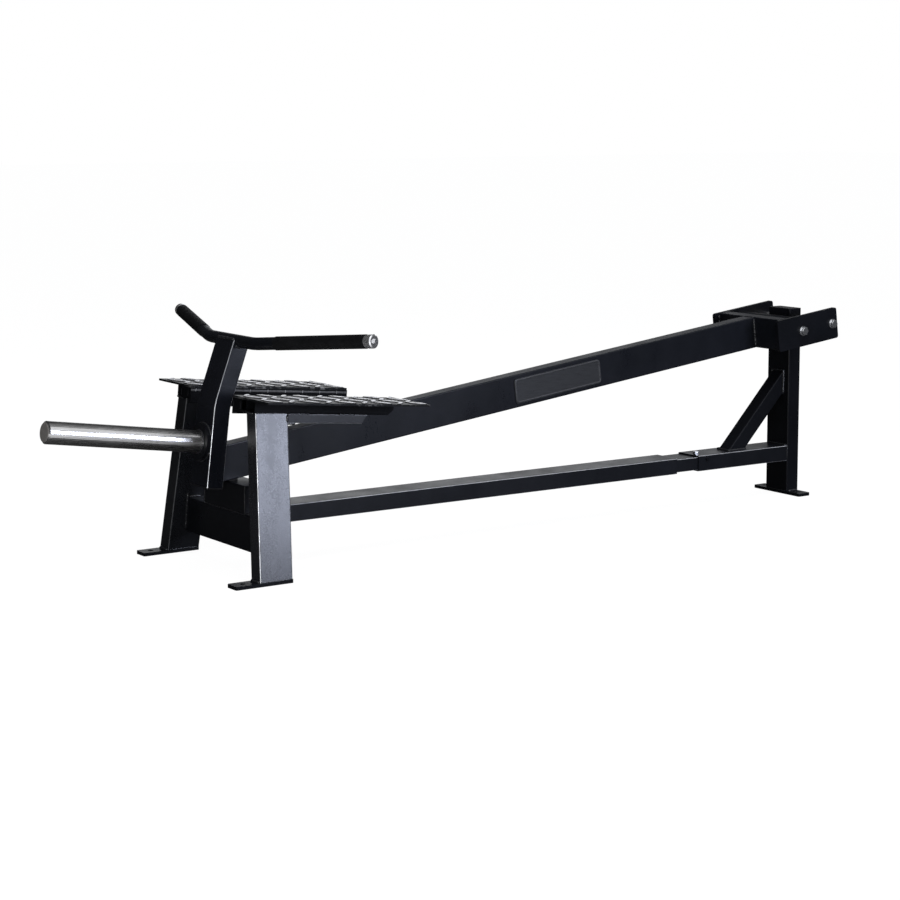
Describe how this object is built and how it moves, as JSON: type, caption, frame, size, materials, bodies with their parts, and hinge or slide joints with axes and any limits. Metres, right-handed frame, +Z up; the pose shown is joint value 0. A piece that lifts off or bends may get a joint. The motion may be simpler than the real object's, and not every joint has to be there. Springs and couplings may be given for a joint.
{
  "type": "t-bar row machine",
  "caption": "Low steel strength machine: a hinged lever arm with a swept handlebar and a plate-loading pin, tread-plate footrests either side, and a rear pivot post on a long base rail.",
  "frame": {"origin": "on the floor, at the middle of the machine's overall length and width", "axes": "+X from the loading pin towards the pivot post, +Y to the right of a user who stands on the deck facing the loading pin, +Z up"},
  "size_m": [2.176, 0.869, 0.5485],
  "materials": {
    "powder_coat": "satin black powder coat on welded steel tube and plate",
    "tread_plate": "dark coated tread plate with raised bars worn bright on top",
    "bare_steel": "turned and polished round steel",
    "zinc_hardware": "bright zinc plated bolts, nut and spacer",
    "chrome_trim": "mirror chrome",
    "black_rubber": "matt black rubber",
    "black_plastic": "matt black moulded plastic"
  },
  "bodies": {
    "frame": {"front_foot_plate_l": "powder_coat", "front_foot_plate_r": "powder_coat", "front_leg_l": "powder_coat", "front_leg_r": "powder_coat", "deck_bearer_l": "powder_coat", "deck_bearer_r": "powder_coat", "deck_bracket_l": "powder_coat", "deck_bracket_r": "powder_coat", "deck_cross_support_l": "powder_coat", "deck_cross_support_r": "powder_coat", "deck_edge_bar_l": "powder_coat", "deck_edge_bar_r": "powder_coat", "deck_plate_l": "tread_plate", "deck_plate_r": "tread_plate", "front_cross_member": "powder_coat", "base_rail_front": "powder_coat", "base_rail_rear": "powder_coat", "rail_splice_sleeve": "powder_coat", "rail_splice_screw_top": "zinc_hardware", "rail_splice_screw_side": "powder_coat", "rest_block": "powder_coat", "rest_block_end_l": "powder_coat", "rest_block_end_r": "powder_coat", "rest_pad": "black_rubber", "rear_foot_plate": "powder_coat", "rear_post": "powder_coat", "rear_post_cap": "black_plastic", "diagonal_brace": "powder_coat", "pivot_housing": "powder_coat", "pivot_bearing_l": "bare_steel", "pivot_bearing_r": "bare_steel"},
    "arm": {"arm_tube": "powder_coat", "arm_blank_plate": "black_plastic", "handle_post": "powder_coat", "handle_post_cap": "black_plastic", "handlebar": "powder_coat", "grip_l": "black_rubber", "grip_r": "black_rubber", "bar_end_cap_l": "chrome_trim", "bar_end_cap_r": "chrome_trim", "bar_cap_screw_l": "chrome_trim", "bar_cap_screw_r": "chrome_trim", "weight_stop_collar": "powder_coat", "weight_sleeve": "bare_steel", "weight_sleeve_cap": "bare_steel", "yoke_plate_l": "powder_coat", "yoke_plate_r": "powder_coat", "yoke_cross_tube": "powder_coat", "pivot_axle": "bare_steel", "pivot_bolt_l": "zinc_hardware", "pivot_bolt_r": "zinc_hardware", "stop_spacer": "zinc_hardware", "stop_bolt": "zinc_hardware", "stop_nut": "zinc_hardware"}
  },
  "joints": [
    {"name": "arm_pivot", "type": "hinge", "parent": "frame", "child": "arm", "pos_m": [0.96271, 0, 0.4419], "axis": [0, 1, 0], "range_deg": [0, 41]}
  ]
}
